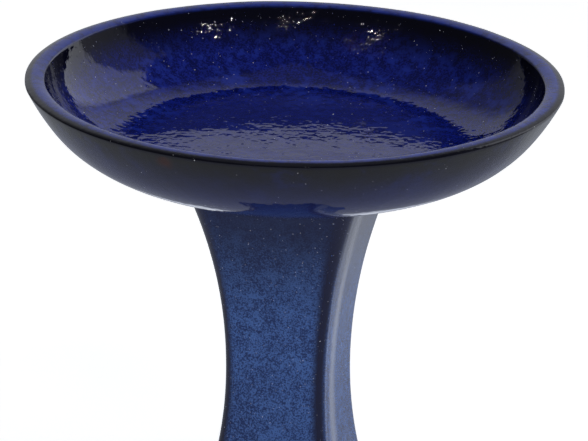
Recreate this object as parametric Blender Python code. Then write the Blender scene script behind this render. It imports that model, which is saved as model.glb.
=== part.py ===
"""Glazed stoneware bird bath: a shallow round basin that sits loose on a waisted, square pedestal.

Metres, +Z up. The origin is the middle of the pedestal's foot, on the ground, and the pedestal's
faces look along X and Y. The basin turns on a loose rubber ring and lifts straight off.
"""

from math import asin, atan2, cos, pi, radians, sin, sqrt, tan

import bmesh
import bpy

# Basin. Depths are measured down from the crown of the rim.
RIM_RADIUS = 0.260
RIM_WIDTH = 0.020
RIM_CROWN_INSET = 0.010     # highest line of the rim's dome, in from its outer edge
RIM_DOME_RADIUS = 0.020
RIM_LIP_ROUND = 0.003       # inner edge of the rim
RIM_CREASE_ROUND = 0.0015   # thin outer edge, where the rim meets the outside
WELL_DEPTH = 0.068
WELL_WALL_SLOPE = radians(73)  # the wall of the well, where it reaches the rim
FLOOR_THICKNESS = 0.0175
BELLY_START_SLOPE = radians(62)  # the outside, just under the rim
BELLY_END_SLOPE = radians(13)    # the outside, where it reaches the foot ring
BELLY_START_PULL = 0.41     # the outer curve's handles, as shares of its chord
BELLY_END_PULL = 0.47

# Foot ring under the basin, which drops over the pedestal's top.
FOOT_RING_WIDTH = 0.009
FOOT_RING_HEIGHT = 0.010
FOOT_RING_CLEARANCE = 0.0020  # round the corners of the pedestal's top
FOOT_RING_ROUND = 0.0015

# Pedestal
PEDESTAL_HEIGHT = 0.4064
TOP_WIDTH = 0.183
WAIST_WIDTH = 0.1032
WAIST_HEIGHT = 0.198
FOOT_WIDTH = 0.183
CORNER_ROUND = 0.0145       # upright corners, at the waist; they grow with the width
INNER_CORNER_ROUND = 0.006
PEDESTAL_WALL = 0.012
TOP_PLATE = 0.014
TOP_EDGE_ROUND = 0.008
FOOT_EDGE_ROUND = 0.003
MOUTH_RADIUS = 0.045
MOUTH_EDGE_ROUND = 0.003

# Rubber ring between the two
SEAT_THICKNESS = 0.003
SEAT_WIDTH = 0.022
SEAT_INSET = 0.0035         # from the edge of the flat on the pedestal's top
SEAT_EDGE_ROUND = 0.0008

FIT_GAP = 0.0003            # between pieces that rest on each other
TURNED_STEPS = 64
COVE_STEPS = 9
BELLY_STEPS = 12
CORNER_STEPS = 6
SIDE_STEPS = 4              # along each straight side of the square
EDGE_STEPS = 4              # over the pedestal's top and foot edges
FLARE_STEPS = 11            # each way from the waist

SMOOTH_ANGLE = radians(35)


def arc(centre, radius, start, end, steps):
    """Points along a circular arc in the (radius, height) plane, both ends included."""
    turns = [start + (end - start) * i / steps for i in range(steps + 1)]
    return [(centre[0] + radius * cos(a), centre[1] + radius * sin(a)) for a in turns]


def bezier(first, first_handle, last_handle, last, steps):
    """Points along a cubic curve, both ends included."""
    points = []
    for i in range(steps + 1):
        t = i / steps
        weights = ((1 - t) ** 3, 3 * (1 - t) ** 2 * t, 3 * (1 - t) * t**2, t**3)
        ends = (first, first_handle, last_handle, last)
        points.append(tuple(sum(w * p[k] for w, p in zip(weights, ends)) for k in (0, 1)))
    return points


def material(name, colour, roughness):
    made = bpy.data.materials.new(name)
    made.use_nodes = True
    shader = made.node_tree.nodes["Principled BSDF"]
    shader.inputs["Base Color"].default_value = (*colour, 1)
    shader.inputs["Roughness"].default_value = roughness
    shader.inputs["Metallic"].default_value = 0
    return made


def finish(obj, surface):
    bpy.context.collection.objects.link(obj)
    obj.data.materials.append(surface)
    obj.data.shade_smooth()
    obj.data.set_sharp_from_angle(angle=SMOOTH_ANGLE)


def turned(name, profile, surface, closed):
    """A piece turned about the Z axis. The profile runs down its outer side, top to bottom."""
    mesh = bpy.data.meshes.new(name)
    edges = [(i, i + 1) for i in range(len(profile) - 1)]
    if closed:
        edges.append((len(profile) - 1, 0))
    mesh.from_pydata([(r, 0, z) for r, z in profile], edges, [])
    obj = bpy.data.objects.new(name, mesh)
    finish(obj, surface)
    screw = obj.modifiers.new("turned", "SCREW")
    screw.angle = 2 * pi
    screw.steps = TURNED_STEPS
    screw.render_steps = TURNED_STEPS
    screw.use_merge_vertices = True
    screw.merge_threshold = 0.00001
    screw.use_smooth_shade = True
    return obj


def flare(height):
    """Half the pedestal's outer width at a height, and its outward lean there.

    The side is an upright arc from the waist up to the top, and another down to the foot."""
    off_waist = height - WAIST_HEIGHT
    width, rise = (TOP_WIDTH, PEDESTAL_HEIGHT - WAIST_HEIGHT) if off_waist > 0 else (FOOT_WIDTH, WAIST_HEIGHT)
    spread = (width - WAIST_WIDTH) / 2
    radius = (rise**2 + spread**2) / (2 * spread)
    half = WAIST_WIDTH / 2 + radius - sqrt(radius**2 - off_waist**2)
    return half, asin(off_waist / radius)


def outer_corner(half):
    return CORNER_ROUND * half / (WAIST_WIDTH / 2)


def ring(half, corner, height):
    """Points round a square with rounded corners."""
    quarter = [(half, (half - corner) * (2 * step / SIDE_STEPS - 1)) for step in range(SIDE_STEPS)]
    quarter += arc((half - corner, half - corner), corner, 0, pi / 2, CORNER_STEPS)[:-1]
    points = []
    for turn in range(4):
        c, s = round(cos(turn * pi / 2)), round(sin(turn * pi / 2))
        points += [(x * c - y * s, x * s + y * c, height) for x, y in quarter]
    return points


def round_ring(radius, height, like):
    """A circle whose points stand in line with those of another ring."""
    turns = [atan2(y, x) for x, y, _ in like]
    return [(radius * cos(a), radius * sin(a), height) for a in turns]


def edge_arc(half, height, lean, rounding, side):
    """A rounded edge from a leaning wall to a level face: (half width, height) points.

    The wall leans outward by lean as it reaches the edge. side is +1 where the level face is on
    top, and -1 where it is underneath."""
    middle = half - rounding * tan((radians(90) + lean) / 2)
    points = arc((middle, -rounding), rounding, -lean, radians(90), EDGE_STEPS)
    return [(x, height + side * y) for x, y in points]


def basin_height():
    """Height of the underside that rests on the seat."""
    return PEDESTAL_HEIGHT + SEAT_THICKNESS + 2 * FIT_GAP


def foot_ring_inner():
    """The foot ring clears the pedestal's corners, so that the basin can turn on it."""
    half = TOP_WIDTH / 2
    corner = outer_corner(half)
    return (half - corner) * sqrt(2) + corner + FOOT_RING_CLEARANCE


def basin_profile():
    """Up the well, over the rim and down the outside, to the middle of the underside."""
    underside = basin_height()
    floor = underside + FLOOR_THICKNESS
    crown = floor + WELL_DEPTH
    right = radians(90)

    dome = (RIM_RADIUS - RIM_CROWN_INSET, crown - RIM_DOME_RADIUS)
    lip_lean = asin((RIM_WIDTH - RIM_CROWN_INSET - RIM_LIP_ROUND) / (RIM_DOME_RADIUS - RIM_LIP_ROUND))
    lip_reach = RIM_DOME_RADIUS - RIM_LIP_ROUND
    lip = (dome[0] - lip_reach * sin(lip_lean), dome[1] + lip_reach * cos(lip_lean))
    crease_reach = RIM_DOME_RADIUS - RIM_CREASE_ROUND
    crease_lean = asin((RIM_CROWN_INSET - RIM_CREASE_ROUND) / crease_reach)
    crease = (dome[0] + crease_reach * sin(crease_lean), dome[1] + crease_reach * cos(crease_lean))

    rise = lip[1] - floor + RIM_LIP_ROUND * cos(WELL_WALL_SLOPE)
    cove = rise / (1 - cos(WELL_WALL_SLOPE))
    floor_radius = lip[0] - (cove + RIM_LIP_ROUND) * sin(WELL_WALL_SLOPE)

    points = [(0, floor)]
    points += arc((floor_radius, floor + cove), cove, -right, WELL_WALL_SLOPE - right, COVE_STEPS)
    points += arc(lip, RIM_LIP_ROUND, right + WELL_WALL_SLOPE, right + lip_lean, 4)[1:]
    points += arc(dome, RIM_DOME_RADIUS, right + lip_lean, right - crease_lean, 6)[1:]
    points += arc(crease, RIM_CREASE_ROUND, right - crease_lean, BELLY_START_SLOPE - right, 4)[1:]

    ring_inner = foot_ring_inner()
    start = points[-1]
    end = (ring_inner + FOOT_RING_WIDTH, underside - FOOT_RING_HEIGHT)
    chord = sqrt((start[0] - end[0]) ** 2 + (start[1] - end[1]) ** 2)
    first, last = BELLY_START_PULL * chord, BELLY_END_PULL * chord
    start_handle = (start[0] - first * cos(BELLY_START_SLOPE), start[1] - first * sin(BELLY_START_SLOPE))
    end_handle = (end[0] + last * cos(BELLY_END_SLOPE), end[1] + last * sin(BELLY_END_SLOPE))
    points += bezier(start, start_handle, end_handle, end, BELLY_STEPS)[1:]

    edge = (ring_inner + FOOT_RING_ROUND, end[1] + FOOT_RING_ROUND)
    points += arc(edge, FOOT_RING_ROUND, -right, -2 * right, 3)
    inner_corner = (ring_inner - FOOT_RING_ROUND, underside - FOOT_RING_ROUND)
    points += arc(inner_corner, FOOT_RING_ROUND, 0, right, 3)
    points.append((0, underside))
    return points


def seat_profile():
    flat = edge_arc(*top_edge())[-1][0]
    outer = flat - SEAT_INSET
    inner = outer - SEAT_WIDTH
    low = PEDESTAL_HEIGHT + FIT_GAP
    high = low + SEAT_THICKNESS
    r = SEAT_EDGE_ROUND
    right = radians(90)
    points = arc((outer - r, high - r), r, right, 0, 2)
    points += arc((outer - r, low + r), r, 0, -right, 2)
    points += arc((inner + r, low + r), r, -right, -2 * right, 2)
    points += arc((inner + r, high - r), r, 2 * right, right, 2)
    return points


def top_edge():
    half, lean = flare(PEDESTAL_HEIGHT)
    return half, PEDESTAL_HEIGHT, lean, TOP_EDGE_ROUND, 1


def foot_edge():
    half, lean = flare(0)
    return half, 0, -lean, FOOT_EDGE_ROUND, -1


def pedestal_rings():
    """Rings from the foot up the outside, across the top, through the mouth and down the inside."""
    foot = edge_arc(*foot_edge())[::-1]
    top = edge_arc(*top_edge())
    outside = list(foot)
    for start, end in ((foot[-1][1], WAIST_HEIGHT), (WAIST_HEIGHT, top[0][1])):
        for step in range(1, FLARE_STEPS):
            height = start + (end - start) * step / FLARE_STEPS
            outside.append((flare(height)[0], height))
        if end == WAIST_HEIGHT:
            outside.append((flare(end)[0], end))
    outside += top
    rings = [ring(half, outer_corner(half), z) for half, z in outside]

    flat = rings[-1]
    right = radians(90)
    r = MOUTH_EDGE_ROUND
    underside = PEDESTAL_HEIGHT - TOP_PLATE
    mouth = arc((MOUTH_RADIUS + r, PEDESTAL_HEIGHT - r), r, right, 2 * right, 3)
    mouth += arc((MOUTH_RADIUS + r, underside + r), r, 2 * right, 3 * right, 3)
    rings += [round_ring(radius, z, flat) for radius, z in mouth]

    cove = PEDESTAL_WALL
    ceiling = flare(underside)[0] - PEDESTAL_WALL
    rings.append(ring(ceiling - cove, INNER_CORNER_ROUND, underside))
    for step in range(1, 4):
        a = right * step / 3
        rings.append(ring(ceiling - cove + cove * sin(a), INNER_CORNER_ROUND, underside - cove * (1 - cos(a))))
    high = underside - cove
    for start, end in ((high, WAIST_HEIGHT), (WAIST_HEIGHT, 0)):
        for step in range(1, FLARE_STEPS + 1):
            height = start + (end - start) * step / FLARE_STEPS
            rings.append(ring(flare(height)[0] - PEDESTAL_WALL, INNER_CORNER_ROUND, height))
    return rings


def lofted(name, rings, surface):
    """One closed skin through rings that all have as many points; the last joins the first."""
    mesh = bpy.data.meshes.new(name)
    shape = bmesh.new()
    loops = [[shape.verts.new(point) for point in points] for points in rings]
    for lower, upper in zip(loops, loops[1:] + loops[:1]):
        for i in range(len(lower)):
            j = (i + 1) % len(lower)
            shape.faces.new((lower[i], lower[j], upper[j], upper[i]))
    shape.to_mesh(mesh)
    shape.free()
    obj = bpy.data.objects.new(name, mesh)
    finish(obj, surface)
    return obj


def main():
    for obj in list(bpy.data.objects):
        bpy.data.objects.remove(obj)
    glaze = material("cobalt_glaze", (0.010, 0.020, 0.130), 0.08)
    pedestal_glaze = material("pedestal_glaze", (0.020, 0.050, 0.190), 0.12)
    rubber = material("seat_rubber", (0.03, 0.03, 0.03), 0.8)
    lofted("pedestal", pedestal_rings(), pedestal_glaze)
    turned("seat_ring", seat_profile(), rubber, closed=True)
    turned("basin", basin_profile(), glaze, closed=False)


main()
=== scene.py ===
from math import asin, atan2, cos, degrees, pi, radians, sin, sqrt, tan
from random import Random

import bmesh
import bpy
from bpy.props import FloatProperty, FloatVectorProperty, IntProperty, PointerProperty
from mathutils import Matrix, Vector


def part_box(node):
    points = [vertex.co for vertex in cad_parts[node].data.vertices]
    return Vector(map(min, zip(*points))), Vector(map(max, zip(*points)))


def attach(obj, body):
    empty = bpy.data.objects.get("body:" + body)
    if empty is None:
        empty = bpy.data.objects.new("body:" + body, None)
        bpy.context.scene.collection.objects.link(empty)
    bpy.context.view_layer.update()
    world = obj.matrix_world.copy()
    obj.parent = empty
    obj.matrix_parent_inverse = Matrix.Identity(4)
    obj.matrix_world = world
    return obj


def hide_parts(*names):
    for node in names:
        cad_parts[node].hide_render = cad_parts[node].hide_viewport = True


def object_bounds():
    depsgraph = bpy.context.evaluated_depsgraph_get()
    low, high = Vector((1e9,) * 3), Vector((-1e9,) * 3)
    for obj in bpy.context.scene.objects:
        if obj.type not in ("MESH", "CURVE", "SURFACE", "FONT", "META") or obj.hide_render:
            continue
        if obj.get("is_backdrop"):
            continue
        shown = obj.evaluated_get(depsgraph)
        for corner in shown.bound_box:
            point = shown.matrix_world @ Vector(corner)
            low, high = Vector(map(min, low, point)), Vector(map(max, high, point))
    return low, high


bl_info = {
    "name": "Stoneware Bird Bath",
    "version": (1, 0, 0),
    "blender": (4, 5, 0),
    "location": "View3D > Sidebar > Bird Bath",
    "description": "Glazed basin on a waisted square pedestal, with its glazes and studio",
    "category": "Object",
}

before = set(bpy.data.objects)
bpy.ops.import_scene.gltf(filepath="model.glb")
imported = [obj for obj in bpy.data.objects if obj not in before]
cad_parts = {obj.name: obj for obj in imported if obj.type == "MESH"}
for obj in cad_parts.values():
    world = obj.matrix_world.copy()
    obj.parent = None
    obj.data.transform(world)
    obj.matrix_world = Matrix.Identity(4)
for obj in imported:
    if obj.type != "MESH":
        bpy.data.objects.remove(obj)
CAD_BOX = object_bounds()

BASIN_LOW, BASIN_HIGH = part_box("basin")
PEDESTAL_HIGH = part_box("pedestal")[1]
SEAT_LOW, SEAT_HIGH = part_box("seat_ring")

ALONG = "along"     # attribute: metres along a turned outline, from its first point
TRUE = "true"       # attribute: 1 where a piece keeps its true shape, as where it rests on another
PICKED = "picked"   # attribute: how thickly a part of a skin is scattered over

# Faces along the basin's outline
FLOOR_STEPS = 40
COVE_STEPS = 48
ROUND_STEPS = 8             # over the rim's inner and outer edges
DOME_STEPS = 18
BELLY_STEPS = 56
RING_EDGE_STEPS = 4         # over the edges of the foot ring and of the rubber ring
UNDERSIDE_STEPS = 10

# Faces of the pedestal
SIDE_STEPS = 24             # along each side of the square
CORNER_STEPS = 14
FLARE_STEPS = 70            # up the outside, and again down the inside
EDGE_STEPS = 12             # over the top and foot edges
MOUTH_STEPS = 6             # over each edge of the hole in the top
CEILING_STEPS = 8           # where the hollow's walls curve in under the top

RESTING_DEPTH = 0.002       # stays true, where one piece rests on another
SEAM_GAP = 0.000002         # points this close are made one
SQUARE_DECIMETRES = 100.0   # in a square metre
RIGHT_ANGLE = pi / 2
CIRCLE = 2 * pi

BURNT_SPOT = (-0.042, -0.251, 0.484)    # middle of the iron spot under the rim
GLINTS = (          # bearing and height in degrees of clusters of small lamps seen as sparks in the glaze
    (136, 33), (132, 43), (177, 31), (177, 39), (223, 36), (229, 47), (233, 61),
)
GLINT_REACH = 3.0           # from the middle of the rim to each small lamp
GLINT_SIZE = 0.009
GLINT_WIDENING = 1.4        # how much wider than high a cluster is


# ---- node trees written as expressions


def maths(operation, swapped=False):
    """A method of Socket that adds one Math node."""
    def method(self, *others):
        values = (*others, self) if swapped else (self, *others)
        return self.tree.add("ShaderNodeMath", {"operation": operation}, dict(enumerate(values)))

    return method


class Socket:
    """A node's output that takes part in sums and adds its Math nodes to the tree."""

    def __init__(self, tree, source):
        self.tree = tree
        self.source = source

    __add__ = __radd__ = maths("ADD")
    __sub__, __rsub__ = maths("SUBTRACT"), maths("SUBTRACT", swapped=True)
    __mul__ = __rmul__ = maths("MULTIPLY")
    __truediv__, __rtruediv__ = maths("DIVIDE"), maths("DIVIDE", swapped=True)
    __pow__, __mod__ = maths("POWER"), maths("MODULO")
    __gt__, __lt__ = maths("GREATER_THAN"), maths("LESS_THAN")
    __abs__, floor = maths("ABSOLUTE"), maths("FLOOR")
    sine, cosine = maths("SINE"), maths("COSINE")
    arcsine, arctangent = maths("ARCSINE"), maths("ARCTAN2")
    least, most = maths("MINIMUM"), maths("MAXIMUM")

    def ramp(self, low, high, low_value=0.0, high_value=1.0):
        """Goes smoothly from low_value to high_value as this goes from low to high, and stays there."""
        values = {"Value": self, "From Min": low, "From Max": high, "To Min": low_value, "To Max": high_value}
        return self.tree.add("ShaderNodeMapRange", {"interpolation_type": "SMOOTHSTEP"}, values, "Result")

    def band(self, low, full_from, full_to, high):
        """1 from full_from to full_to, fading to 0 at low and at high."""
        return self.ramp(low, full_from) * self.ramp(full_to, high, 1, 0)


class Tree:
    """A node tree, with one method that makes any node."""

    def __init__(self, node_tree):
        self.nodes = node_tree.nodes
        self.links = node_tree.links
        self.nodes.clear()

    def add(self, kind, settings=None, values=None, output=0):
        """Makes a node, sets its settings and then its inputs, and gives one of its outputs."""
        node = self.nodes.new(kind)
        for name, value in (settings or {}).items():
            setattr(node, name, value)
        for name, value in (values or {}).items():
            self.put(node.inputs[name], value)
        return Socket(self, node.outputs[output]) if node.outputs else node

    def put(self, target, value):
        if isinstance(value, Socket):
            self.links.new(value.source, target)
        else:
            target.default_value = value

    def outputs(self, socket, *names):
        """More outputs of the node that a socket belongs to."""
        return [Socket(self, socket.source.node.outputs[name]) for name in names]

    def split(self, vector):
        """The X, Y and Z of a vector."""
        return self.outputs(self.add("ShaderNodeSeparateXYZ", values={"Vector": vector}), "X", "Y", "Z")

    def mix(self, factor, first, second):
        """A colour between two colours."""
        first, second = (end if isinstance(end, Socket) else (*end, 1.0) for end in (first, second))
        return self.add("ShaderNodeMix", {"data_type": "RGBA"}, {"Factor": factor, 6: first, 7: second}, 2)


class Material(Tree):
    """A material's tree, with a place on the object and one Principled shader."""

    def __init__(self, name, fixed):
        self.material = bpy.data.materials.new(name)
        self.material.use_nodes = True
        super().__init__(self.material.node_tree)
        self.place = self.add("ShaderNodeTexCoord", output="Object")
        self.x, self.y, self.z = self.split(self.place)
        self.out_radius = (self.x * self.x + self.y * self.y) ** 0.5
        self.shader = self.nodes.new("ShaderNodeBsdfPrincipled")
        for socket, value in fixed.items():
            self.shader.inputs[socket].default_value = value
        surface = self.nodes.new("ShaderNodeOutputMaterial")
        self.links.new(self.shader.outputs[0], surface.inputs["Surface"])

    def paint(self, **varying):
        for socket, value in varying.items():
            self.put(self.shader.inputs[socket.replace("_", " ").title()], value)
        return self.material

    def noise(self, size, detail=2.0, roughness=0.5, stretch=(1, 1, 1)):
        """Smooth noise from 0 to 1 whose features are about size metres across."""
        place = self.place
        if stretch != (1, 1, 1):
            settings = {"vector_type": "POINT"}
            place = self.add("ShaderNodeMapping", settings, {"Vector": place, "Scale": stretch})
        values = {"Vector": place, "Scale": 1 / size, "Detail": detail, "Roughness": roughness}
        return self.add("ShaderNodeTexNoise", {"noise_dimensions": "3D"}, values)

    def specks(self, spacing, radius, share):
        """1 inside scattered round specks. radius is in spacings, and share is how many are kept."""
        values = {"Vector": self.place, "Scale": 1 / spacing}
        distance = self.add("ShaderNodeTexVoronoi", {"feature": "F1"}, values)
        chance = self.add("ShaderNodeSeparateColor", values={"Color": self.outputs(distance, "Color")[0]})
        kept, varied = self.outputs(chance, "Red", "Green")
        return distance.ramp(radius * 0.6, radius, 1, 0) * (kept < share) * varied.ramp(0, 1, 0.4, 1)

    def bump(self, height, distance):
        """A normal from a height field; distance is metres for each unit of height."""
        return self.add("ShaderNodeBump", values={"Height": height, "Distance": distance, "Strength": 1.0})


class GeometryTree(Tree):
    """A Geometry Nodes group with named inputs."""

    def __init__(self, name, inputs):
        self.group = bpy.data.node_groups.new(name, "GeometryNodeTree")
        super().__init__(self.group)
        sockets = self.group.interface
        sockets.new_socket("Geometry", in_out="INPUT", socket_type="NodeSocketGeometry")
        for label, kind in inputs.items():
            sockets.new_socket(label, in_out="INPUT", socket_type="NodeSocket" + kind)
        sockets.new_socket("Geometry", in_out="OUTPUT", socket_type="NodeSocketGeometry")
        self.start = self.nodes.new("NodeGroupInput")
        self.end = self.nodes.new("NodeGroupOutput")

    def take(self, label):
        return Socket(self, self.start.outputs[label])

    def give(self, geometry):
        self.links.new(geometry.source, self.end.inputs[0])
        return self.group

    def named(self, name):
        """A number that each point of the geometry carries."""
        settings = {"data_type": "FLOAT"}
        return self.add("GeometryNodeInputNamedAttribute", settings, {"Name": name}, "Attribute")


def run_nodes(obj, group, values):
    """The mesh that a Geometry Nodes group makes from an object's mesh."""
    modifier = obj.modifiers.new(group.name, "NODES")
    modifier.node_group = group
    for item in group.interface.items_tree:
        if item.in_out == "INPUT" and item.name in values:
            modifier[item.identifier] = values[item.name]
    evaluated = obj.evaluated_get(bpy.context.evaluated_depsgraph_get())
    mesh = bpy.data.meshes.new_from_object(evaluated)
    obj.modifiers.remove(modifier)
    return mesh


# ---- sizes and colours that a user may change


def number(name, description, default, largest, **kind):
    return FloatProperty(name=name, description=description, default=default, min=0.0, max=largest, **kind)


def length(name, description, default, largest=2.0):
    return number(name, description, default, largest, unit="LENGTH")


def power(name, description, default):
    return number(name, description, default, 1000.0, unit="POWER")


def amount(name, description, default, largest=10.0):
    return number(name, description, default, largest)


def angle(name, description, default):
    return FloatProperty(name=name, description=description, default=default, unit="ROTATION")


def shade(name, description, default):
    return FloatVectorProperty(name=name, description=description, default=default, size=3, min=0.0, max=1.0,
                               subtype="COLOR")


def count(name, description, default, least=0, most=512):
    return IntProperty(name=name, description=description, default=default, min=least, max=most)


class BirdBathBasin(bpy.types.PropertyGroup):
    rim_radius: length("Rim radius", "From the middle to the rim's outer edge", BASIN_HIGH.x)
    rim_width: length("Rim width", "Across the rim's top", 0.020)
    crown_inset: length("Crown inset", "Highest line of the rim, in from its outer edge", 0.010)
    dome_radius: length("Rim dome", "Radius of the rim's domed top", 0.020)
    lip_round: length("Lip round", "Radius of the rim's inner edge", 0.003)
    crease_round: length("Crease round", "Radius of the rim's outer edge", 0.0015)
    floor_thickness: length("Floor thickness", "Clay under the floor of the well", 0.0175)
    well_slope: angle("Well slope", "Slope of the well's wall where it reaches the rim", radians(73))
    belly_top_slope: angle("Belly top slope", "Slope of the outside under the rim", radians(62))
    belly_foot_slope: angle("Belly foot slope", "Slope of the outside at the foot ring", radians(13))
    belly_top_pull: amount("Belly top pull", "Upper handle of the outer curve, over its chord", 0.41)
    belly_foot_pull: amount("Belly foot pull", "Lower handle of the outer curve, over its chord", 0.47)
    foot_ring_width: length("Foot ring width", "Width of the ring under the basin", 0.009)
    foot_ring_height: length("Foot ring height", "How far the ring stands below the underside", 0.010)
    foot_ring_inner: length("Foot ring radius", "Inside of the ring, round the pedestal's corners", 0.12075)
    foot_ring_round: length("Foot ring round", "Radius of the ring's inner edges", 0.0015)
    steps_around: count("Steps around", "Faces round the basin", 400, 32)
    unevenness: length("Unevenness", "How far the hand-finished clay strays from true", 0.0004)
    unevenness_size: length("Unevenness size", "How far apart its swells are", 0.075)


class BirdBathSeat(bpy.types.PropertyGroup):
    width: length("Width", "Across the flat of the rubber ring", 0.022)
    edge_round: length("Edge round", "Radius of the rubber ring's edges", 0.0008)
    steps_around: count("Steps around", "Faces round the rubber ring", 96, 32)


class BirdBathPedestal(bpy.types.PropertyGroup):
    top_width: length("Top width", "Across the flats at the top", 0.183)
    waist_width: length("Waist width", "Across the flats at the waist", 0.1032)
    foot_width: length("Foot width", "Across the flats at the foot", 0.183)
    waist_height: length("Waist height", "Height of the narrowest place", 0.198)
    corner_round: length("Corner round", "Radius of the upright corners, at the waist", 0.0145)
    inner_corner_round: length("Inner corner round", "Radius of the corners inside", 0.006)
    wall: length("Wall", "Thickness of the clay", 0.012)
    top_plate: length("Top plate", "Thickness of the top", 0.014)
    top_edge_round: length("Top edge round", "Radius of the edge round the top", 0.008)
    foot_edge_round: length("Foot edge round", "Radius of the edge round the foot", 0.003)
    mouth_radius: length("Mouth radius", "Hole in the top plate", 0.045)
    mouth_edge_round: length("Mouth edge round", "Radius of the hole's edges", 0.003)
    unevenness: length("Unevenness", "How far the hand-finished clay strays from true", 0.0003)
    unevenness_size: length("Unevenness size", "How far apart its swells are", 0.085)


class BirdBathGlaze(bpy.types.PropertyGroup):
    well: shade("Well", "Cobalt where the glaze lies thick in the well", (0.007, 0.017, 0.26))
    well_dark: shade("Well, dark mottle", "Darker mottle in the well", (0.002, 0.005, 0.085))
    well_light: shade("Well, light mottle", "Lighter mottle in the well", (0.014, 0.034, 0.34))
    pool: shade("Well, pooled", "Milky glaze pooled on the well's floor", (0.026, 0.034, 0.20))
    # Painted shade: the near-black band under the rim's inner edge
    painted_shade_under_lip: shade("Under the lip", "Nearly black band under the rim's inner edge", (0.002, 0.002, 0.010))
    rim: shade("Rim", "The rim's top", (0.013, 0.036, 0.32))
    # Dark pinholes in the well, and painted shade on the rim's outer half, along the crease and towards the
    # foot ring
    edge: shade("Edge", "Glaze run thin over an edge", (0.002, 0.002, 0.007))
    belly: shade("Belly", "The basin's outside", (0.0055, 0.0055, 0.0050))
    belly_low: shade("Belly, low", "The outside towards the foot ring", (0.006, 0.010, 0.062))
    burnt: shade("Burnt spot", "Iron spot that has run under the rim", (0.024, 0.005, 0.003))
    column: shade("Pedestal", "The pedestal's faces", (0.052, 0.125, 0.37))
    column_dark: shade("Pedestal, dark mottle", "Darker mottle on the pedestal", (0.008, 0.022, 0.105))
    # Painted shadow: the basin's shadow on the pedestal under it
    column_painted_shadow: shade("Pedestal, top", "The pedestal under the basin", (0.003, 0.006, 0.036))
    column_edge: shade("Pedestal, corners", "Glaze run thin over the corners", (0.004, 0.006, 0.032))
    # Painted reflection: a pale streak down one face of the pedestal
    painted_reflection: shade("Milky run", "Milky glaze run down one face of the pedestal", (0.45, 0.48, 0.56))
    painted_reflection_strength: amount("Milky run strength", "How much the milky run hides the glaze under it", 0.45, 1.0)
    clay: shade("Bare clay", "Unglazed clay underneath", (0.42, 0.27, 0.18))
    # Pale crystals, which also serve as painted glints where they crowd under the rim
    speck_and_glint: shade("Speck", "Pale crystals in the glaze", (0.88, 0.90, 0.95))
    blisters: amount("Blisters", "Glaze blisters for each square decimetre of the well's floor", 5.0, 100.0)
    blister_size: length("Blister size", "Largest blister, across", 0.0042)
    well_crystals_and_glints: amount("Well crystals", "Crystals for each square decimetre under the rim", 90.0, 500.0)
    column_crystals: amount("Pedestal crystals", "Crystals for each square decimetre of it", 110.0, 500.0)
    crystal_size: length("Crystal size", "Largest crystal, across", 0.0013)


class BirdBathStage(bpy.types.PropertyGroup):
    azimuth: angle("Azimuth", "Where the camera stands, round from the front", radians(18))
    elevation: angle("Elevation", "How high the camera stands, seen from the rim", radians(17.75))
    roll: angle("Roll", "How far the view leans to the right", radians(1.3))
    distance: length("Distance", "From the camera to the middle of the rim", 4.16, 20.0)
    focal_length: number("Focal length", "Camera lens", 264.5, 1000.0, unit="CAMERA")
    rim_up: angle("Rim above centre", "How far above the view's centre the rim's middle is", radians(1.905))
    rim_aside: angle("Rim aside", "How far right of the view's centre the rim's middle is", radians(0.012))
    horizon: amount("Horizon", "Brightness of the wall behind", 0.44)
    window: amount("Window", "Brightness of the bright panel behind on the right", 0.95)
    ceiling: amount("Ceiling", "Brightness overhead", 0.07)
    room: amount("Room", "Brightness of the dark room behind the camera", 0.045)
    ground: amount("Ground", "Brightness of the ground in reflections", 0.30)
    floor_glow: amount("Floor glow", "How much the pale floor is lifted towards white", 0.85)
    sparks: count("Sparks", "Small lamps in each cluster", 9, most=20)
    spark_power: power("Spark power", "Power of each small lamp", 0.16)
    spread: angle("Spread", "How far the lamps of a cluster stray", radians(4.5))
    seed: count("Seed", "Places of the small lamps", 4)
    key_power: power("Key", "Power of the soft light overhead", 9.0)
    fill_power: power("Fill", "Power of the soft light in front", 26.0)


# ---- outlines


def arc(centre, radius, start, end, steps):
    turns = [start + (end - start) * i / steps for i in range(steps + 1)]
    return [(centre[0] + radius * cos(a), centre[1] + radius * sin(a)) for a in turns]


def bezier(first, first_handle, last_handle, last, steps):
    points = []
    for i in range(steps + 1):
        t = i / steps
        weights = ((1 - t) ** 3, 3 * (1 - t) ** 2 * t, 3 * (1 - t) * t**2, t**3)
        ends = (first, first_handle, last_handle, last)
        points.append(tuple(sum(w * p[k] for w, p in zip(weights, ends)) for k in (0, 1)))
    return points


def straight(first, last, steps):
    """Points between two places, without the ends."""
    return [tuple(a + (b - a) * i / steps for a, b in zip(first, last)) for i in range(1, steps)]


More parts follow.
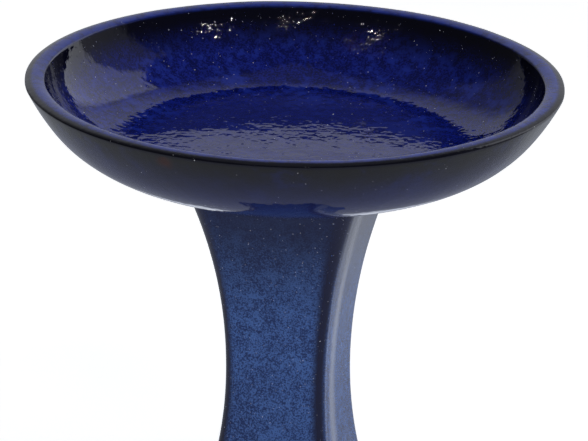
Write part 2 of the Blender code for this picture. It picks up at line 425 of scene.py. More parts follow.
def basin_outline(size):
    """The basin's outline from the middle of the floor to the middle of the underside, and the
    numbers of the points where the lip, crown, crease, belly and foot ring begin."""
    underside = BASIN_LOW.z + size.foot_ring_height
    floor = underside + size.floor_thickness
    crown = BASIN_HIGH.z
    dome = (size.rim_radius - size.crown_inset, crown - size.dome_radius)
    lip_reach = size.dome_radius - size.lip_round
    lip_lean = asin((size.rim_width - size.crown_inset - size.lip_round) / lip_reach)
    lip = (dome[0] - lip_reach * sin(lip_lean), dome[1] + lip_reach * cos(lip_lean))
    crease_reach = size.dome_radius - size.crease_round
    crease_lean = asin((size.crown_inset - size.crease_round) / crease_reach)
    crease = (dome[0] + crease_reach * sin(crease_lean), dome[1] + crease_reach * cos(crease_lean))
    rise = lip[1] - floor + size.lip_round * cos(size.well_slope)
    cove = rise / (1 - cos(size.well_slope))
    floor_radius = lip[0] - (cove + size.lip_round) * sin(size.well_slope)

    inner, outer = RIGHT_ANGLE + lip_lean, RIGHT_ANGLE - crease_lean
    points = [(0, floor)] + straight((0, floor), (floor_radius, floor), FLOOR_STEPS)
    points += arc((floor_radius, floor + cove), cove, -RIGHT_ANGLE, size.well_slope - RIGHT_ANGLE, COVE_STEPS)
    marks = [len(points)]
    points += arc(lip, size.lip_round, RIGHT_ANGLE + size.well_slope, inner, ROUND_STEPS)[1:]
    marks.append(len(points))
    points += arc(dome, size.dome_radius, inner, outer, DOME_STEPS)[1:]
    marks.append(len(points))
    points += arc(crease, size.crease_round, outer, size.belly_top_slope - RIGHT_ANGLE, ROUND_STEPS)[1:]
    marks.append(len(points))

    start = points[-1]
    end = (size.foot_ring_inner + size.foot_ring_width, BASIN_LOW.z)
    chord = sqrt((start[0] - end[0]) ** 2 + (start[1] - end[1]) ** 2)
    top, foot = size.belly_top_pull * chord, size.belly_foot_pull * chord
    start_handle = (start[0] - top * cos(size.belly_top_slope), start[1] - top * sin(size.belly_top_slope))
    end_handle = (end[0] + foot * cos(size.belly_foot_slope), end[1] + foot * sin(size.belly_foot_slope))
    points += bezier(start, start_handle, end_handle, end, BELLY_STEPS)[1:]
    marks.append(len(points))
    r = size.foot_ring_round
    points += arc((size.foot_ring_inner + r, end[1] + r), r, -RIGHT_ANGLE, -pi, RING_EDGE_STEPS)
    points += arc((size.foot_ring_inner - r, underside - r), r, 0, RIGHT_ANGLE, RING_EDGE_STEPS)
    points += straight(points[-1], (0, underside), UNDERSIDE_STEPS) + [(0, underside)]
    return points, marks


def distances(points):
    """Distance along an outline to each of its points."""
    run = [0.0]
    for (ax, az), (bx, bz) in zip(points, points[1:]):
        run.append(run[-1] + sqrt((bx - ax) ** 2 + (bz - az) ** 2))
    return run


def seat_outline(size):
    """The rubber ring's section, closed."""
    outer, inner, r = SEAT_HIGH.x, SEAT_HIGH.x - size.width, size.edge_round
    corners = ((outer - r, SEAT_HIGH.z - r, 1), (outer - r, SEAT_LOW.z + r, 0),
               (inner + r, SEAT_LOW.z + r, -1), (inner + r, SEAT_HIGH.z - r, -2))
    points = []
    for x, z, quarter in corners:
        points += arc((x, z), r, quarter * RIGHT_ANGLE, (quarter - 1) * RIGHT_ANGLE, RING_EDGE_STEPS)
    return points + points[:1]


# ---- shapes


def uneven(tree, skin, depth, size):
    """Sinks a skin below its true shape by up to depth, in swells about size apart."""
    values = {"Vector": tree.add("GeometryNodeInputPosition"), "Scale": 1 / size, "Detail": 1.0}
    swell = tree.add("ShaderNodeTexNoise", {"noise_dimensions": "3D"}, values)
    sunk = (tree.named(TRUE) - 1) * swell.ramp(0.25, 0.75) * depth
    values = {"Vector": tree.add("GeometryNodeInputNormal"), "Scale": sunk}
    sink = tree.add("ShaderNodeVectorMath", {"operation": "SCALE"}, values)
    return tree.add("GeometryNodeSetPosition", values={"Geometry": skin, "Offset": sink})


def finished(tree, skin):
    """Ends a tree with plain geometry that has a material."""
    skin = tree.add("GeometryNodeRealizeInstances", values={"Geometry": skin})
    skin = tree.add("GeometryNodeSetShadeSmooth", values={"Geometry": skin})
    skin = tree.add("GeometryNodeSetMaterial", values={"Geometry": skin, "Material": tree.take("Surface")})
    return tree.give(skin)


def turning_nodes():
    """Turns an outline, whose points are in order, about the Z axis into a closed skin."""
    tree = GeometryTree("turned", {"Steps Around": "Int", "Unevenness": "Float", "Unevenness Size": "Float",
                                   "Surface": "Material"})
    outline, steps = tree.take("Geometry"), tree.take("Steps Around")
    rows = tree.add("GeometryNodeAttributeDomainSize", {"component": "MESH"}, {"Geometry": outline},
                    "Point Count")
    values = {"Vertices X": steps + 1, "Vertices Y": rows}
    skin = tree.add("GeometryNodeMeshGrid", values=values, output="Mesh")
    index = tree.add("GeometryNodeInputIndex")
    row = index % rows
    turn = (index / rows + 0.0001).floor() / steps * -CIRCLE    # the nudge makes up for rounding

    def sampled(kind, value):
        values = {"Geometry": outline, "Value": value, "Index": row}
        return tree.add("GeometryNodeSampleIndex", {"data_type": kind}, values)

    point = sampled("FLOAT_VECTOR", tree.add("GeometryNodeInputPosition"))
    radius, _, height = tree.split(point)
    turned = tree.add("ShaderNodeCombineXYZ",
                      values={"X": radius * turn.cosine(), "Y": radius * turn.sine(), "Z": height})
    for name in (ALONG, TRUE):
        values = {"Geometry": skin, "Name": name, "Value": sampled("FLOAT", tree.named(name))}
        skin = tree.add("GeometryNodeStoreNamedAttribute", {"data_type": "FLOAT", "domain": "POINT"}, values)
    skin = tree.add("GeometryNodeSetPosition", values={"Geometry": skin, "Position": turned})
    skin = tree.add("GeometryNodeMergeByDistance", values={"Geometry": skin, "Distance": SEAM_GAP})
    return finished(tree, uneven(tree, skin, tree.take("Unevenness"), tree.take("Unevenness Size")))


def uneven_nodes():
    """Leaves a skin as hand work does, slightly out of true."""
    inputs = {"Unevenness": "Float", "Unevenness Size": "Float", "Surface": "Material"}
    tree = GeometryTree("hand_finished", inputs)
    skin = uneven(tree, tree.take("Geometry"), tree.take("Unevenness"), tree.take("Unevenness Size"))
    return finished(tree, skin)


def scatter_nodes():
    """Scatters low round bumps over the part of a skin that its weight picks out."""
    numbers = ("Number per Square Metre", "Smallest", "Largest", "Flatness", "Sunk", "Longest")
    inputs = {**dict.fromkeys(numbers, "Float"), "Seed": "Int", "Surface": "Material"}
    tree = GeometryTree("scattered", inputs)
    density = tree.take("Number per Square Metre") * tree.named(PICKED)
    values = {"Mesh": tree.take("Geometry"), "Density": density, "Seed": tree.take("Seed")}
    settings = {"distribute_method": "RANDOM"}
    spread = tree.add("GeometryNodeDistributePointsOnFaces", settings, values, "Points")
    turned = tree.outputs(spread, "Rotation")[0]

    def random(low, high, seed):
        return tree.add("FunctionNodeRandomValue", {"data_type": "FLOAT"}, {2: low, 3: high, "Seed": seed}, 1)

    size = random(0.0, 1.0, 1)
    size = tree.take("Smallest") + (tree.take("Largest") - tree.take("Smallest")) * size * size * size
    values = {"Axis": (0, 0, 1), "Angle": random(0.0, CIRCLE, 2)}
    turn = tree.add("FunctionNodeAxisAngleToRotation", values=values)
    turned = tree.add("FunctionNodeRotateRotation", {"rotation_space": "LOCAL"}, {0: turned, 1: turn})
    values = {"X": size * random(1.0, tree.take("Longest"), 3), "Y": size, "Z": size * tree.take("Flatness")}
    scale = tree.add("ShaderNodeCombineXYZ", values=values)
    values = {"Segments": 9, "Rings": 5, "Radius": 0.5}
    bead = tree.add("GeometryNodeMeshUVSphere", values=values, output="Mesh")
    lowered = tree.add("ShaderNodeCombineXYZ", values={"Z": tree.take("Sunk") * -0.5})
    bead = tree.add("GeometryNodeSetPosition", values={"Geometry": bead, "Offset": lowered})
    beads = tree.add("GeometryNodeInstanceOnPoints",
                     values={"Points": spread, "Instance": bead, "Rotation": turned, "Scale": scale})
    return finished(tree, beads)


def flare(size, height):
    """Half the pedestal's outer width at a height, and its outward lean there."""
    off_waist = height - size.waist_height
    above = (size.top_width, PEDESTAL_HIGH.z - size.waist_height)
    width, rise = above if off_waist > 0 else (size.foot_width, size.waist_height)
    spread = (width - size.waist_width) / 2
    radius = (rise**2 + spread**2) / (2 * spread)
    half = size.waist_width / 2 + radius - sqrt(radius**2 - off_waist**2)
    return half, asin(off_waist / radius)


def square_ring(half, corner, height):
    """Points round a square with rounded corners."""
    quarter = [(half, (half - corner) * (2 * step / SIDE_STEPS - 1)) for step in range(SIDE_STEPS)]
    quarter += arc((half - corner, half - corner), corner, 0, RIGHT_ANGLE, CORNER_STEPS)[:-1]
    points = []
    for turn in range(4):
        c, s = round(cos(turn * RIGHT_ANGLE)), round(sin(turn * RIGHT_ANGLE))
        points += [(x * c - y * s, x * s + y * c, height) for x, y in quarter]
    return points


def round_ring(radius, height, like):
    """Points round a circle, at the bearings of another ring's points."""
    turns = [atan2(y, x) for x, y, _ in like]
    return [(radius * cos(a), radius * sin(a), height) for a in turns]


def edge_arc(half, height, lean, rounding, side):
    """A rounded edge from a leaning wall to a level face: (half width, height) points."""
    middle = half - rounding * tan((RIGHT_ANGLE + lean) / 2)
    points = arc((middle, -rounding), rounding, -lean, RIGHT_ANGLE, EDGE_STEPS)
    return [(x, height + side * y) for x, y in points]


def pedestal_rings(size):
    """Rings from the foot up the outside, across the top, through the mouth and down the inside."""
    def corner(half):
        return size.corner_round * half / (size.waist_width / 2)

    top = PEDESTAL_HIGH.z
    half, lean = flare(size, 0)
    outside = edge_arc(half, 0, -lean, size.foot_edge_round, -1)[::-1]
    half, lean = flare(size, top)
    top_edge = edge_arc(half, top, lean, size.top_edge_round, 1)
    start, end = outside[-1][1], top_edge[0][1]
    for step in range(1, FLARE_STEPS):
        height = start + (end - start) * step / FLARE_STEPS
        outside.append((flare(size, height)[0], height))
    outside += top_edge
    rings = [square_ring(half, corner(half), z) for half, z in outside]

    flat, r, underside = rings[-1], size.mouth_edge_round, top - size.top_plate
    mouth = arc((size.mouth_radius + r, top - r), r, RIGHT_ANGLE, pi, MOUTH_STEPS)
    mouth += arc((size.mouth_radius + r, underside + r), r, pi, 3 * RIGHT_ANGLE, MOUTH_STEPS)
    rings += [round_ring(radius, z, flat) for radius, z in mouth]
    cove = size.wall
    ceiling = flare(size, underside)[0] - size.wall
    for step in range(CEILING_STEPS + 1):
        a = RIGHT_ANGLE * step / CEILING_STEPS
        half = ceiling - cove + cove * sin(a)
        rings.append(square_ring(half, size.inner_corner_round, underside - cove * (1 - cos(a))))
    for step in range(1, FLARE_STEPS + 1):
        height = (underside - cove) * (1 - step / FLARE_STEPS)
        rings.append(square_ring(flare(size, height)[0] - size.wall, size.inner_corner_round, height))
    return rings


def lofted(name, rings, true_at):
    """One closed skin through rings that all have as many points; the last joins the first."""
    shape = bmesh.new()
    true = shape.verts.layers.float.new(TRUE)
    loops = [[shape.verts.new(point) for point in points] for points in rings]
    for vertex in shape.verts:
        vertex[true] = true_at(vertex.co)
    for lower, upper in zip(loops, loops[1:] + loops[:1]):
        for i in range(len(lower)):
            j = (i + 1) % len(lower)
            shape.faces.new((lower[i], lower[j], upper[j], upper[i]))
    mesh = bpy.data.meshes.new(name)
    shape.to_mesh(mesh)
    shape.free()
    return linked(name, mesh)


def linked(name, data):
    obj = bpy.data.objects.new(name, data)
    bpy.context.scene.collection.objects.link(obj)
    return obj


def outline_object(name, points, true_at):
    """An outline as a row of points that carry how far along it they are and how true they stay."""
    mesh = bpy.data.meshes.new(name)
    mesh.from_pydata([(x, 0, z) for x, z in points], [], [])
    for attribute, values in ((ALONG, distances(points)), (TRUE, [true_at(*p) for p in points])):
        mesh.attributes.new(attribute, "FLOAT", "POINT").data.foreach_set("value", values)
    return linked(name, mesh)


def remade(obj, group, values):
    """An object whose mesh becomes what a Geometry Nodes group makes from it."""
    old, obj.data = obj.data, run_nodes(obj, group, values)
    bpy.data.meshes.remove(old)
    obj.data.name = obj.name
    return obj


def placed(obj, body, slot, node=None):
    """Hands a finished piece over: the body it rides on and the CAD node it stands for. slot, for its finish,
    is not used.
    """
    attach(obj, body)
    if node:
        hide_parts(node)


def picked(name, source, weight_at):
    """A copy of a skin with a weight on each point, for scattering over."""
    copy = linked(name, source.data.copy())
    weights = [weight_at(v.co, v.normal) for v in copy.data.vertices]
    copy.data.attributes.new(PICKED, "FLOAT", "POINT").data.foreach_set("value", weights)
    return copy


# ---- glazes


def basin_glaze(glaze, points, marks):
    run = distances(points)
    lip, crown, crease, belly_top, foot_ring = (run[mark] for mark in marks)
    paint = Material("cobalt_glaze", {"IOR": 1.5})
    along = paint.add("ShaderNodeAttribute", {"attribute_name": ALONG}, output="Fac")
    broad = paint.noise(0.060, 3, 0.55)
    mottle = paint.noise(0.010, 5, 0.65)
    fine = paint.noise(0.0021, 3, 0.7)

    # Mottled well: pale and cloudy where glaze pools on its floor, with painted shade in a dark band under
    # the lip
    well = paint.mix((mottle * 0.35 + fine * 0.65).ramp(0.44, 0.57), glaze.well_dark, glaze.well)
    well = paint.mix((broad * 0.5 + mottle * 0.5).ramp(0.49, 0.62) * 0.8, well, glaze.well_light)
    well = paint.mix((along + mottle * 0.02).ramp(0.13, 0.17, 0.55, 0), well, glaze.pool)
    pins = paint.specks(0.0140, 0.085, 0.30)
    well = paint.mix(pins * 0.9, well, glaze.edge)
    # Painted shade under the lip, fading down the wall
    thin = (along + broad * 0.020).ramp(lip - 0.038, lip + 0.004) ** 0.85
    well = paint.mix(thin, well, glaze.painted_shade_under_lip)

    rim = paint.mix(mottle.ramp(0.40, 0.75), glaze.rim, glaze.well_dark)
    outer = (crown + crease) / 2
    # Painted shade: the rim's outer half turns to the dark edge colour
    rim = paint.mix((along + fine * 0.002).ramp(outer + 0.001, outer + 0.006), rim, glaze.edge)
    skin = paint.mix(along.ramp(lip - 0.001, crown + 0.001), well, rim)

    # Outside: bluer lower down, with painted shade towards the foot ring, and an iron spot under the rim
    lower = (along + broad * 0.04 + mottle * 0.02).ramp(belly_top + 0.02, belly_top + 0.10)
    belly = paint.mix(lower, glaze.belly, glaze.belly_low)
    belly = paint.mix((broad * 0.6 + mottle * 0.4).ramp(0.50, 0.62) * 0.45, belly, glaze.belly_low)
    # Painted shade: darker towards the foot ring, under the basin
    belly = paint.mix(along.ramp(foot_ring - 0.075, foot_ring - 0.015) * 0.65, belly, glaze.edge)
    values = {0: paint.place, 1: BURNT_SPOT}
    from_spot = paint.add("ShaderNodeVectorMath", {"operation": "DISTANCE"}, values, "Value")
    belly = paint.mix((from_spot + mottle * 0.010).ramp(0.006, 0.017, 0.9, 0), belly, glaze.burnt)
    skin = paint.mix(along.ramp(crease - 0.001, crease + 0.001), skin, belly)
    # Painted shade: a dark line along the crease under the rim
    off_crease = abs(along - crease - 0.001)
    skin = paint.mix((off_crease - fine * 0.002).ramp(0.0004, 0.0032, 1, 0), skin, glaze.edge)

    specks = paint.specks(0.0055, 0.11, 0.30) * mottle.ramp(0.45, 0.55)
    skin = paint.mix(specks * along.ramp(belly_top, belly_top + 0.02, 0.75, 0.3), skin, glaze.speck_and_glint)

    bare = (along + fine * 0.003).ramp(foot_ring - 0.003, foot_ring - 0.002)
    skin = paint.mix(bare, skin, glaze.clay)
    rough = (mottle.ramp(0.3, 0.8, 0.010, 0.045) + specks * 0.15).most(bare * 0.85)

    # Ripples and waves are deepest on the floor, and dimples lie under the lip
    peel = paint.noise(0.0065, 1, 0.40)
    dimples = paint.specks(0.0034, 0.34, 0.45) * along.ramp(lip - 0.060, lip - 0.020)
    waves = paint.noise(0.022, 2, 0.5) * along.ramp(0.10, 0.19, 7, 3)
    ripple = peel * along.ramp(0.12, 0.19, 2.6, 1.5)
    normal = paint.bump((ripple + waves) * (1 - bare) + fine * 0.015 - dimples * 0.60 - pins, 0.00010)
    return paint.paint(base_color=skin, roughness=rough, normal=normal)


def pedestal_glaze(glaze):
    paint = Material("pedestal_glaze", {"IOR": 1.5})
    broad = paint.noise(0.040, 3, 0.55)
    mottle = paint.noise(0.0075, 4, 0.6)
    grain = paint.noise(0.0016, 2, 0.7)
    fine = paint.noise(0.0012, 2, 0.6)
    runs = paint.noise(0.014, 4, 0.6, stretch=(1, 1, 0.12))

    blend = (grain * 0.62 + mottle * 0.22 + broad * 0.16).ramp(0.43, 0.57)
    skin = paint.mix(blend, glaze.column_dark, glaze.column)
    top = PEDESTAL_HIGH.z
    # Painted shadow of the basin, darkening the pedestal towards its top
    shaded = (paint.z + runs * 0.03).ramp(top - 0.15, top - 0.005)
    skin = paint.mix(shaded * 0.92, skin, glaze.column_painted_shadow)
    corner = abs(paint.x).least(abs(paint.y)) / abs(paint.x).most(abs(paint.y))
    skin = paint.mix((corner + mottle * 0.12).ramp(0.78, 1.0), skin, glaze.column_edge)
    # Painted reflection: a pale streak down one face, fainter where the painted shadow lies
    across = paint.y / paint.x.most(0.001) + (runs * 0.6 + mottle * 0.4) * 0.30
    on_one_face = paint.x > abs(paint.y)
    streak = abs(across + 0.22).ramp(0.02, 0.24, 1, 0) * on_one_face * shaded.ramp(0, 1, 1, 0.6)
    skin = paint.mix(streak * glaze.painted_reflection_strength, skin, glaze.painted_reflection)
    specks = paint.specks(0.0042, 0.15, 0.30)
    skin = paint.mix(specks * 0.30, skin, glaze.speck_and_glint)

    bare = (paint.z + fine * 0.003 + runs * 0.006).ramp(0.0065, 0.0075, 1, 0)
    skin = paint.mix(bare, skin, glaze.clay)
    rough = (mottle.ramp(0.3, 0.8, 0.05, 0.12) + specks * 0.12).most(bare * 0.85)
    peel = paint.noise(0.0060, 2, 0.5)
    normal = paint.bump(peel + fine * 0.10 + mottle * 0.4, 0.00010)
    return paint.paint(base_color=skin, roughness=rough, normal=normal)


def speck_glaze(glaze, name, mixed, tint):
    """Beads of glaze or pale crystals, tinted by the glaze over them. The pale crystals crowding under the
    rim are also painted glints.
    """
    paint = Material(name, {"IOR": 1.5})
    cloud = paint.noise(0.004, 2, 0.5)
    skin = paint.mix(cloud.ramp(0.35, 0.65, 0, mixed), tint, glaze.speck_and_glint)
    return paint.paint(base_color=skin, roughness=cloud.ramp(0.3, 0.7, 0.05, 0.12))


def rubber():
    paint = Material("black_rubber", {"IOR": 1.45})
    grain = paint.noise(0.0008, 2, 0.6)
    fresh, worn = (0.022, 0.022, 0.023), (0.040, 0.040, 0.041)
    skin = paint.mix(paint.noise(0.01, 3).ramp(0.4, 0.7), fresh, worn)
    rough = grain.ramp(0.3, 0.7, 0.6, 0.8)
    return paint.paint(base_color=skin, roughness=rough, normal=paint.bump(grain, 0.00005))


# ---- studio


def studio_world(stage):
    """A dark room with a pale wall behind, a bright panel behind on the right, and pale ground.

    Bearings are in degrees from the direction away from the camera, clockwise."""
    world = bpy.data.worlds.new("studio")
    world.use_nodes = True
    tree = Tree(world.node_tree)
    x, y, up = tree.split(tree.add("ShaderNodeTexCoord", output="Generated"))
    c, s = cos(stage.azimuth), sin(stage.azimuth)
    away, right = y * c - x * s, x * c + y * s
    bearing = right.arctangent(away) * degrees(1)
    height = up.arcsine() * degrees(1)

    # The wall and what is left of it fade softly overhead, and the panels end crisply
    wall = bearing.band(-34, -20, 22, 30)
    left = bearing.band(-60, -50, -34, -20)
    window = bearing.band(24, 31, 60, 64)
    beside = bearing.band(60, 64, 88, 96)
    soft = height.ramp(36, 54)
    crisp = height.ramp(46, 49)
    overhead = (wall * 1.4 + 1) * stage.ceiling
    plain = wall * (stage.horizon - stage.room) + left * (stage.horizon * 0.35 - stage.room) + stage.room
    panels = window * (stage.window - stage.room) + beside * (stage.horizon * 0.6 - stage.room)
    room = plain * (1 - soft) + overhead * soft + panels * (1 - crisp)

    # The ground is brighter in front of the panels and in one patch behind the foot
    ground = height.ramp(-7, -1, 1, 0)
    near = height.ramp(-42, -26)
    sunlit = bearing.band(10, 26, 60, 76) * near * 0.6 + bearing.band(40, 46, 58, 68) * near * 1.6
    patch = bearing.band(-8.5, -5.5, 5.5, 8.5) * height.band(-45, -39, -31, -25)
    bright = room * (1 - ground) + ground * (sunlit + patch * 2.4 + 1) * stage.ground

    tint = tree.mix(ground, (0.97, 1.0, 1.10), (0.97, 1.03, 1.16))
    lit = tree.add("ShaderNodeBackground", values={"Color": tint, "Strength": bright}).source
    backdrop = {"Color": (0.86, 0.87, 0.88, 1), "Strength": 1.0}
    shown = tree.add("ShaderNodeBackground", values=backdrop).source
    seen = tree.add("ShaderNodeLightPath", output="Is Camera Ray").source
    mixed = tree.nodes.new("ShaderNodeMixShader")
    surface = tree.nodes.new("ShaderNodeOutputWorld").inputs["Surface"]
    for source, target in zip((seen, lit, shown, mixed.outputs[0]), (*mixed.inputs, surface)):
        tree.links.new(source, target)
    return world


def floor_paper(stage):
    """Pale paper that glows a little, but less round the foot, where it is shaded: the weaker glow there is a
    painted shadow.
    """
    paint = Material("pale_paper", {"IOR": 1.4, "Roughness": 0.9, "Emission Strength": stage.floor_glow})
    grain = paint.noise(0.004, 3, 0.6)
    paper = paint.mix(paint.noise(0.6, 2).ramp(0.3, 0.7), (0.86, 0.865, 0.87), (0.90, 0.90, 0.90))
    # Painted shadow: the glow is dimmer round the foot
    glow = paint.mix(paint.out_radius.ramp(0.08, 0.30), (0.40, 0.41, 0.43), paper)
    return paint.paint(base_color=paper, emission_color=glow, normal=paint.bump(grain, 0.0002))


def from_camera_side(stage, bearing, height, reach):
    """A place at a bearing clockwise from the direction away from the camera, and a height above
    the rim."""
    turn = stage.azimuth - bearing
    flat = reach * cos(height)
    return Vector((-sin(turn) * flat, cos(turn) * flat, BASIN_HIGH.z + reach * sin(height)))


def lamp(name, place, aim, watts, side, tint=(1, 1, 1), mirrored=True):
    """A square lamp that the camera doesn't see."""
    light = bpy.data.lights.new(name, "AREA")
    light.shape = "RECTANGLE"
    light.size = light.size_y = side
    light.energy = watts
    light.color = tint
    obj = linked(name, light)
    obj.location = place
    obj.rotation_euler = (Vector(aim) - Vector(place)).to_track_quat("-Z", "Y").to_euler()
    obj.visible_camera = False
    obj.visible_glossy = mirrored
    return obj


def camera(stage):
    """Looks at the rim's middle, leans by roll, then turns so that the rim's middle is off centre."""
    az, el = stage.azimuth, stage.elevation
    back = Vector((sin(az) * cos(el), -cos(az) * cos(el), sin(el)))
    right = Vector((cos(az), sin(az), 0))
    level = Matrix((right, back.cross(right), back)).transposed()
    turned = (level @ Matrix.Rotation(stage.roll, 3, "Z") @ Matrix.Rotation(-stage.rim_up, 3, "X")
              @ Matrix.Rotation(stage.rim_aside, 3, "Y"))
    view = linked("camera", bpy.data.cameras.new("camera"))
    view.data.lens = stage.focal_length
    view.data.clip_end = 50
    place = Vector((0, 0, BASIN_HIGH.z)) + back * stage.distance
    view.matrix_world = Matrix.Translation(place) @ turned.to_4x4()
    bpy.context.scene.camera = view


# ---- operators


class BasinOperator(bpy.types.Operator):
    """Turn the glazed basin from its outline"""

    bl_idname = "bird_bath.basin"
    bl_label = "Make Basin"

    def execute(self, context):
        size, glaze = context.scene.bird_bath_basin, context.scene.bird_bath_glaze
        points, marks = basin_outline(size)
        resting = BASIN_LOW.z + size.foot_ring_height + RESTING_DEPTH

        def true_at(x, z):
            return 1.0 if z < resting and x < size.foot_ring_inner + 0.01 else 0.0

        basin = outline_object("basin_glazed", points, true_at)
        remade(basin, turning_nodes(), {
            "Steps Around": size.steps_around, "Unevenness": size.unevenness,
            "Unevenness Size": size.unevenness_size, "Surface": basin_glaze(glaze, points, marks)})
        placed(basin, "basin", "basin_glaze", "basin")
        return {"FINISHED"}


class SeatOperator(bpy.types.Operator):
    """Turn the rubber ring between the basin and the pedestal"""

    bl_idname = "bird_bath.seat"
    bl_label = "Make Seat Ring"

    def execute(self, context):
        size = context.scene.bird_bath_seat
        seat = outline_object("seat_rubber_ring", seat_outline(size), lambda x, z: 1.0)
        remade(seat, turning_nodes(), {
            "Steps Around": size.steps_around, "Unevenness": 0.0, "Unevenness Size": 0.1,
            "Surface": rubber()})
        placed(seat, "seat_ring", "seat_rubber", "seat_ring")
        return {"FINISHED"}


class PedestalOperator(bpy.types.Operator):
    """Loft the waisted square pedestal"""

    bl_idname = "bird_bath.pedestal"
    bl_label = "Make Pedestal"

    def execute(self, context):
        size, glaze = context.scene.bird_bath_pedestal, context.scene.bird_bath_glaze
        top = PEDESTAL_HIGH.z

        def true_at(place):
            return 1.0 if place.z < RESTING_DEPTH or place.z > top - RESTING_DEPTH else 0.0

        pedestal = lofted("pedestal_glazed", pedestal_rings(size), true_at)
        remade(pedestal, uneven_nodes(), {
            "Unevenness": size.unevenness, "Unevenness Size": size.unevenness_size,
            "Surface": pedestal_glaze(glaze)})
        placed(pedestal, "pedestal", "pedestal_glaze", "pedestal")
        return {"FINISHED"}


class SpecksOperator(bpy.types.Operator):
    """Scatter the glaze blisters and pale crystals over the glazed pieces; the crystals crowding under the
    rim are painted glints
    """

    bl_idname = "bird_bath.specks"
    bl_label = "Scatter Blisters and Crystals"

    def execute(self, context):
        glaze = context.scene.bird_bath_glaze
        group = scatter_nodes()
        basin, pedestal = bpy.data.objects["basin_glazed"], bpy.data.objects["pedestal_glazed"]

        def on_floor(place, normal):
            return 1.0 if normal.z > 0.96 and place.z < BASIN_LOW.z + 0.06 else 0.0

        # Crystals crowd the band just under the rim, where they are painted glints
        def in_well(place, normal):
            inward = normal.x * place.x + normal.y * place.y < 0 or normal.z > 0.9
            glazed = inward and normal.z > 0 and BASIN_LOW.z + 0.018 < place.z < BASIN_HIGH.z - 0.006
            return (1.0 if place.z > BASIN_HIGH.z - 0.032 else 0.4) if glazed else 0.0

        def on_face(place, normal):
            outward = normal.x * place.x + normal.y * place.y > 0
            upright = abs(normal.z) < 0.6
            return 1.0 if outward and upright and 0.01 < place.z < PEDESTAL_HIGH.z - 0.012 else 0.0

        def scattered(name, source, weight_at, body, slot, surface, density, sizes, shape, seed):
            smallest, largest = sizes
            flatness, sunk, longest = shape
            beads = remade(picked(name, source, weight_at), group, {
                "Number per Square Metre": density * SQUARE_DECIMETRES, "Smallest": smallest,
                "Largest": largest, "Flatness": flatness, "Sunk": sunk, "Longest": longest, "Seed": seed,
                "Surface": surface})
            placed(beads, body, slot)

        on_basin, on_pedestal = ("basin", "basin_glaze"), ("pedestal", "pedestal_glaze")
        beads = speck_glaze(glaze, "blister_glaze", 0.12, glaze.well)
        scattered("basin_blisters", basin, on_floor, *on_basin, beads, glaze.blisters,
                  (0.0016, glaze.blister_size), (0.30, 0.4, 1.7), 3)
        beads = speck_glaze(glaze, "crystal_glaze", 1.0, glaze.rim)
        scattered("basin_crystals_and_glints", basin, in_well, *on_basin, beads, glaze.well_crystals_and_glints,
                  (0.0003, glaze.crystal_size), (0.45, 0.45, 1.5), 5)
        beads = speck_glaze(glaze, "column_crystal_glaze", 0.7, glaze.column)
        scattered("pedestal_crystals", pedestal, on_face, *on_pedestal, beads, glaze.column_crystals,
                  (0.0004, glaze.crystal_size), (0.25, 0.75, 1.5), 7)
        return {"FINISHED"}


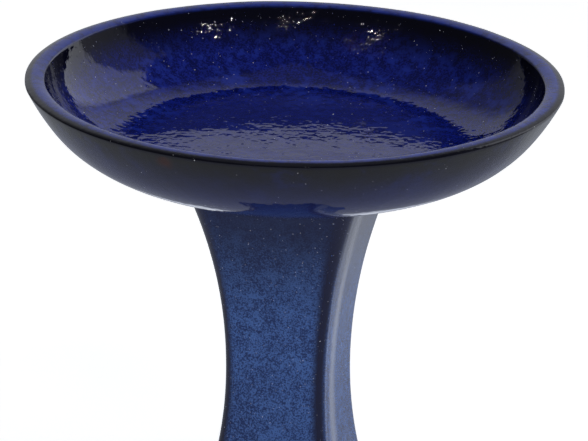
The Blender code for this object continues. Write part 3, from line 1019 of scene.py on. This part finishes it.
class StageOperator(bpy.types.Operator):
    """Set up the pale floor, the soft studio light and the camera"""

    bl_idname = "bird_bath.stage"
    bl_label = "Set Up Studio"

    def execute(self, context):
        stage = context.scene.bird_bath_stage
        context.scene.world = studio_world(stage)
        context.scene.view_settings.view_transform = "Standard"
        context.scene.view_settings.look = "None"
        mesh = bpy.data.meshes.new("floor")
        reach = 14.0
        corners = [(x * reach, y * reach, 0) for x, y in ((-1, -1), (1, -1), (1, 1), (-1, 1))]
        mesh.from_pydata(corners, [], [(0, 1, 2, 3)])
        mesh.materials.append(floor_paper(stage))
        floor = linked("floor", mesh)
        floor.visible_glossy = False
        floor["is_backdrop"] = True

        middle = (0, 0, BASIN_HIGH.z)
        above = from_camera_side(stage, radians(80), radians(52), 2.2)
        lamp("overhead", above, middle, stage.key_power, 1.6, (0.95, 0.98, 1.0), mirrored=False)
        front = from_camera_side(stage, radians(148), radians(42), 3.0)
        lamp("front", front, (0, 0, 0.25), stage.fill_power, 1.8, (1.0, 0.99, 0.97), mirrored=False)
        chance = Random(stage.seed)
        for i, (bearing, height) in enumerate(GLINTS):
            for k in range(stage.sparks):
                aside = radians(bearing) + chance.gauss(0, stage.spread * GLINT_WIDENING)
                up = radians(height) + chance.gauss(0, stage.spread)
                place = from_camera_side(stage, aside, up, GLINT_REACH)
                lamp(f"spark_{i}_{k}", place, middle, stage.spark_power, GLINT_SIZE)
        camera(stage)
        return {"FINISHED"}


class BirdBathPanel(bpy.types.Panel):
    """Sizes, glazes and steps of the bird bath"""

    bl_label = "Bird Bath"
    bl_idname = "VIEW3D_PT_bird_bath"
    bl_space_type = "VIEW_3D"
    bl_region_type = "UI"
    bl_category = "Bird Bath"

    def draw(self, context):
        for name, kind in PROPERTIES.items():
            box = self.layout.box()
            box.label(text=name.replace("_", " ").title())
            group = getattr(context.scene, name)
            for label in kind.__annotations__:
                box.prop(group, label)
        for operator in OPERATORS:
            self.layout.operator(operator.bl_idname)


PROPERTIES = {
    "bird_bath_basin": BirdBathBasin,
    "bird_bath_seat": BirdBathSeat,
    "bird_bath_pedestal": BirdBathPedestal,
    "bird_bath_glaze": BirdBathGlaze,
    "bird_bath_stage": BirdBathStage,
}
OPERATORS = (BasinOperator, SeatOperator, PedestalOperator, SpecksOperator, StageOperator)


def register():
    for kind in (*PROPERTIES.values(), *OPERATORS, BirdBathPanel):
        bpy.utils.register_class(kind)
    for name, kind in PROPERTIES.items():
        setattr(bpy.types.Scene, name, PointerProperty(type=kind))


def unregister():
    for name in PROPERTIES:
        delattr(bpy.types.Scene, name)
    for kind in reversed((*PROPERTIES.values(), *OPERATORS, BirdBathPanel)):
        bpy.utils.unregister_class(kind)


def main():
    register()
    bpy.ops.bird_bath.basin()
    bpy.ops.bird_bath.seat()
    bpy.ops.bird_bath.pedestal()
    bpy.ops.bird_bath.specks()
    bpy.ops.bird_bath.stage()
    boxes = {"cad": CAD_BOX, "visual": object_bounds()}
    {name: [list(corner) for corner in box] for name, box in boxes.items()}


if __name__ == "__main__":
    main()
